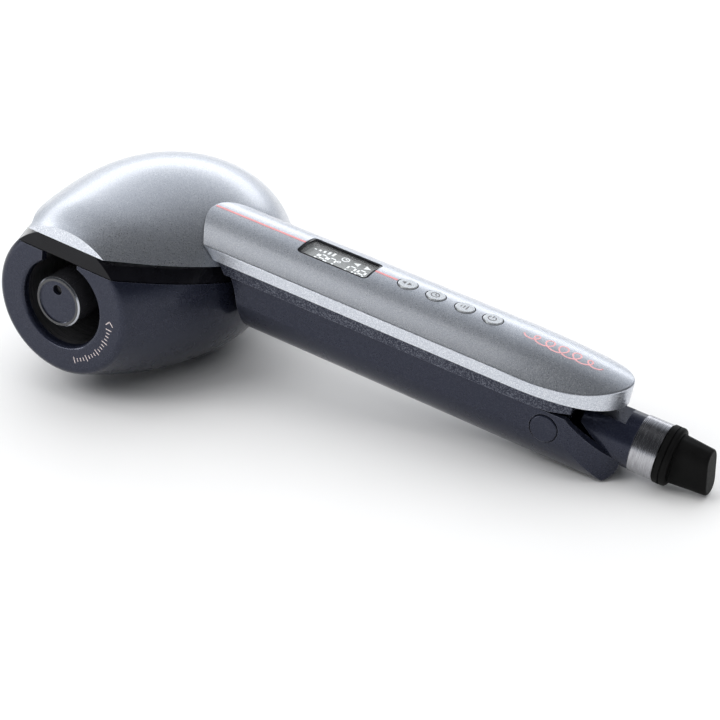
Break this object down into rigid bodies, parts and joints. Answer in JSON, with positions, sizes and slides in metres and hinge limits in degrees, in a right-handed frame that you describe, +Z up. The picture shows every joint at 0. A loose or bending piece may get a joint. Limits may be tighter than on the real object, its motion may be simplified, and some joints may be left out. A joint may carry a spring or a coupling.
{
  "type": "automatic hair curler",
  "caption": "Hand-held automatic hair curler: two hinged jaws close a pod around a heated barrel, and a geared rotor with a hook winds a lock of hair round it.",
  "frame": {"origin": "middle of the small flat under the belly of the head, on the table", "axes": "+X along the curler towards its tail, +Y away from the open mouth, +Z up from the table"},
  "size_m": [0.2685, 0.1223, 0.074],
  "materials": {
    "silver_paint": "pearlescent metallic silver lacquer over moulded plastic",
    "dark_paint": "satin graphite lacquer with a fine pearl",
    "black_gloss": "gloss black",
    "black_matte": "fine matt texture",
    "chamber_metal": "satin anodised",
    "barrel_coat": "black ceramic coating with a bright rim",
    "collar_chrome": "brushed dark chrome",
    "steel": "zinc plated",
    "gear_plastic": "acetal",
    "accent_pink": "printed accent",
    "window_glass": "clear",
    "lcd_grey": "reflective display",
    "button_silver": "satin silver",
    "board_green": "solder mask",
    "stub_rubber": "smooth black elastomer",
    "ceramic": "ceramic heater body"
  },
  "bodies": {
    "lower_jaw": {"lower_head_shell": "dark_paint", "chamber_cup": "chamber_metal", "curl_barrel": "barrel_coat", "barrel_end_cap": "dark_paint", "barrel_sensor": "black_gloss", "heater_core": "ceramic", "rotor_bearing": "black_matte", "drive_bulkhead": "black_matte", "gear_axles": "steel", "drive_motor": "steel", "lower_jaw_deck": "black_matte", "lower_arm_cover": "dark_paint", "lower_arm_deck": "black_matte", "lower_arm_screws": "steel", "power_board": "board_green", "board_posts": "black_matte", "hinge_pin": "steel", "hinge_caps": "dark_paint", "neck_housing": "dark_paint", "tail_collar": "collar_chrome", "jaw_sensor": "black_matte", "opening_spring": "steel"},
    "upper_jaw": {"dome_cover": "silver_paint", "handle_cover": "silver_paint", "upper_jaw_liner": "black_gloss", "chamber_lid": "black_matte", "accent_strip": "accent_pink", "display_bezel": "black_gloss", "display_window": "window_glass", "lcd_module": "lcd_grey", "button_rings": "black_gloss", "control_board": "board_green", "display_spacer": "black_matte", "tact_switches": "black_matte", "buzzer": "black_matte", "upper_arm_frame": "dark_paint", "frame_screws": "steel", "jaw_magnet": "steel"},
    "rotor": {"winding_rotor": "black_matte", "winding_hook": "black_matte"},
    "left_idler": {"left_idler_gear": "gear_plastic"},
    "right_idler": {"right_idler_gear": "gear_plastic"},
    "pinion": {"motor_pinion": "gear_plastic"},
    "swivel": {"tail_cap": "stub_rubber", "cord_stub": "stub_rubber"},
    "direction_key": {"direction_button": "button_silver"},
    "timer_key": {"timer_button": "button_silver"},
    "heat_key": {"heat_button": "button_silver"},
    "power_key": {"power_button": "button_silver"}
  },
  "joints": [
    {"name": "jaw_hinge", "type": "hinge", "parent": "lower_jaw", "child": "upper_jaw", "pos_m": [0.17606, 0, 0.01827], "axis": [0, 1, 0], "range_deg": [0, 8], "stiffness_Nm_per_rad": 0.12, "springref_deg": 8, "deforming": ["opening_spring"]},
    {"name": "rotor_spin", "type": "hinge", "parent": "lower_jaw", "child": "rotor", "pos_m": [0.00287, 0, 0.04119], "axis": [0, 1, 0], "continuous": true},
    {"name": "left_idler_spin", "type": "hinge", "parent": "lower_jaw", "child": "left_idler", "pos_m": [-0.01166, 0, 0.01915], "axis": [0, 1, 0], "continuous": true},
    {"name": "right_idler_spin", "type": "hinge", "parent": "lower_jaw", "child": "right_idler", "pos_m": [0.00939, 0, 0.01561], "axis": [0, 1, 0], "continuous": true},
    {"name": "pinion_spin", "type": "hinge", "parent": "lower_jaw", "child": "pinion", "pos_m": [-0.0017, 0, 0.01404], "axis": [0, 1, 0], "continuous": true},
    {"name": "cord_swivel", "type": "hinge", "parent": "lower_jaw", "child": "swivel", "pos_m": [0.21591, 0, 0.01157], "axis": [0.9862, 0, -0.1658], "continuous": true},
    {"name": "direction_press", "type": "slide", "parent": "upper_jaw", "child": "direction_key", "axis": [-0.1658, 0, -0.9862], "range_m": [0, 0.0006], "stiffness_N_per_m": 400},
    {"name": "timer_press", "type": "slide", "parent": "upper_jaw", "child": "timer_key", "axis": [-0.1658, 0, -0.9862], "range_m": [0, 0.0006], "stiffness_N_per_m": 400},
    {"name": "heat_press", "type": "slide", "parent": "upper_jaw", "child": "heat_key", "axis": [-0.1658, 0, -0.9862], "range_m": [0, 0.0006], "stiffness_N_per_m": 400},
    {"name": "power_press", "type": "slide", "parent": "upper_jaw", "child": "power_key", "axis": [-0.1658, 0, -0.9862], "range_m": [0, 0.0006], "stiffness_N_per_m": 400}
  ],
  "couplings": [
    {"joint": "left_idler_spin", "follows": "rotor_spin", "ratio": -3.125},
    {"joint": "right_idler_spin", "follows": "rotor_spin", "ratio": -3.125},
    {"joint": "pinion_spin", "follows": "rotor_spin", "ratio": 4.1667}
  ]
}
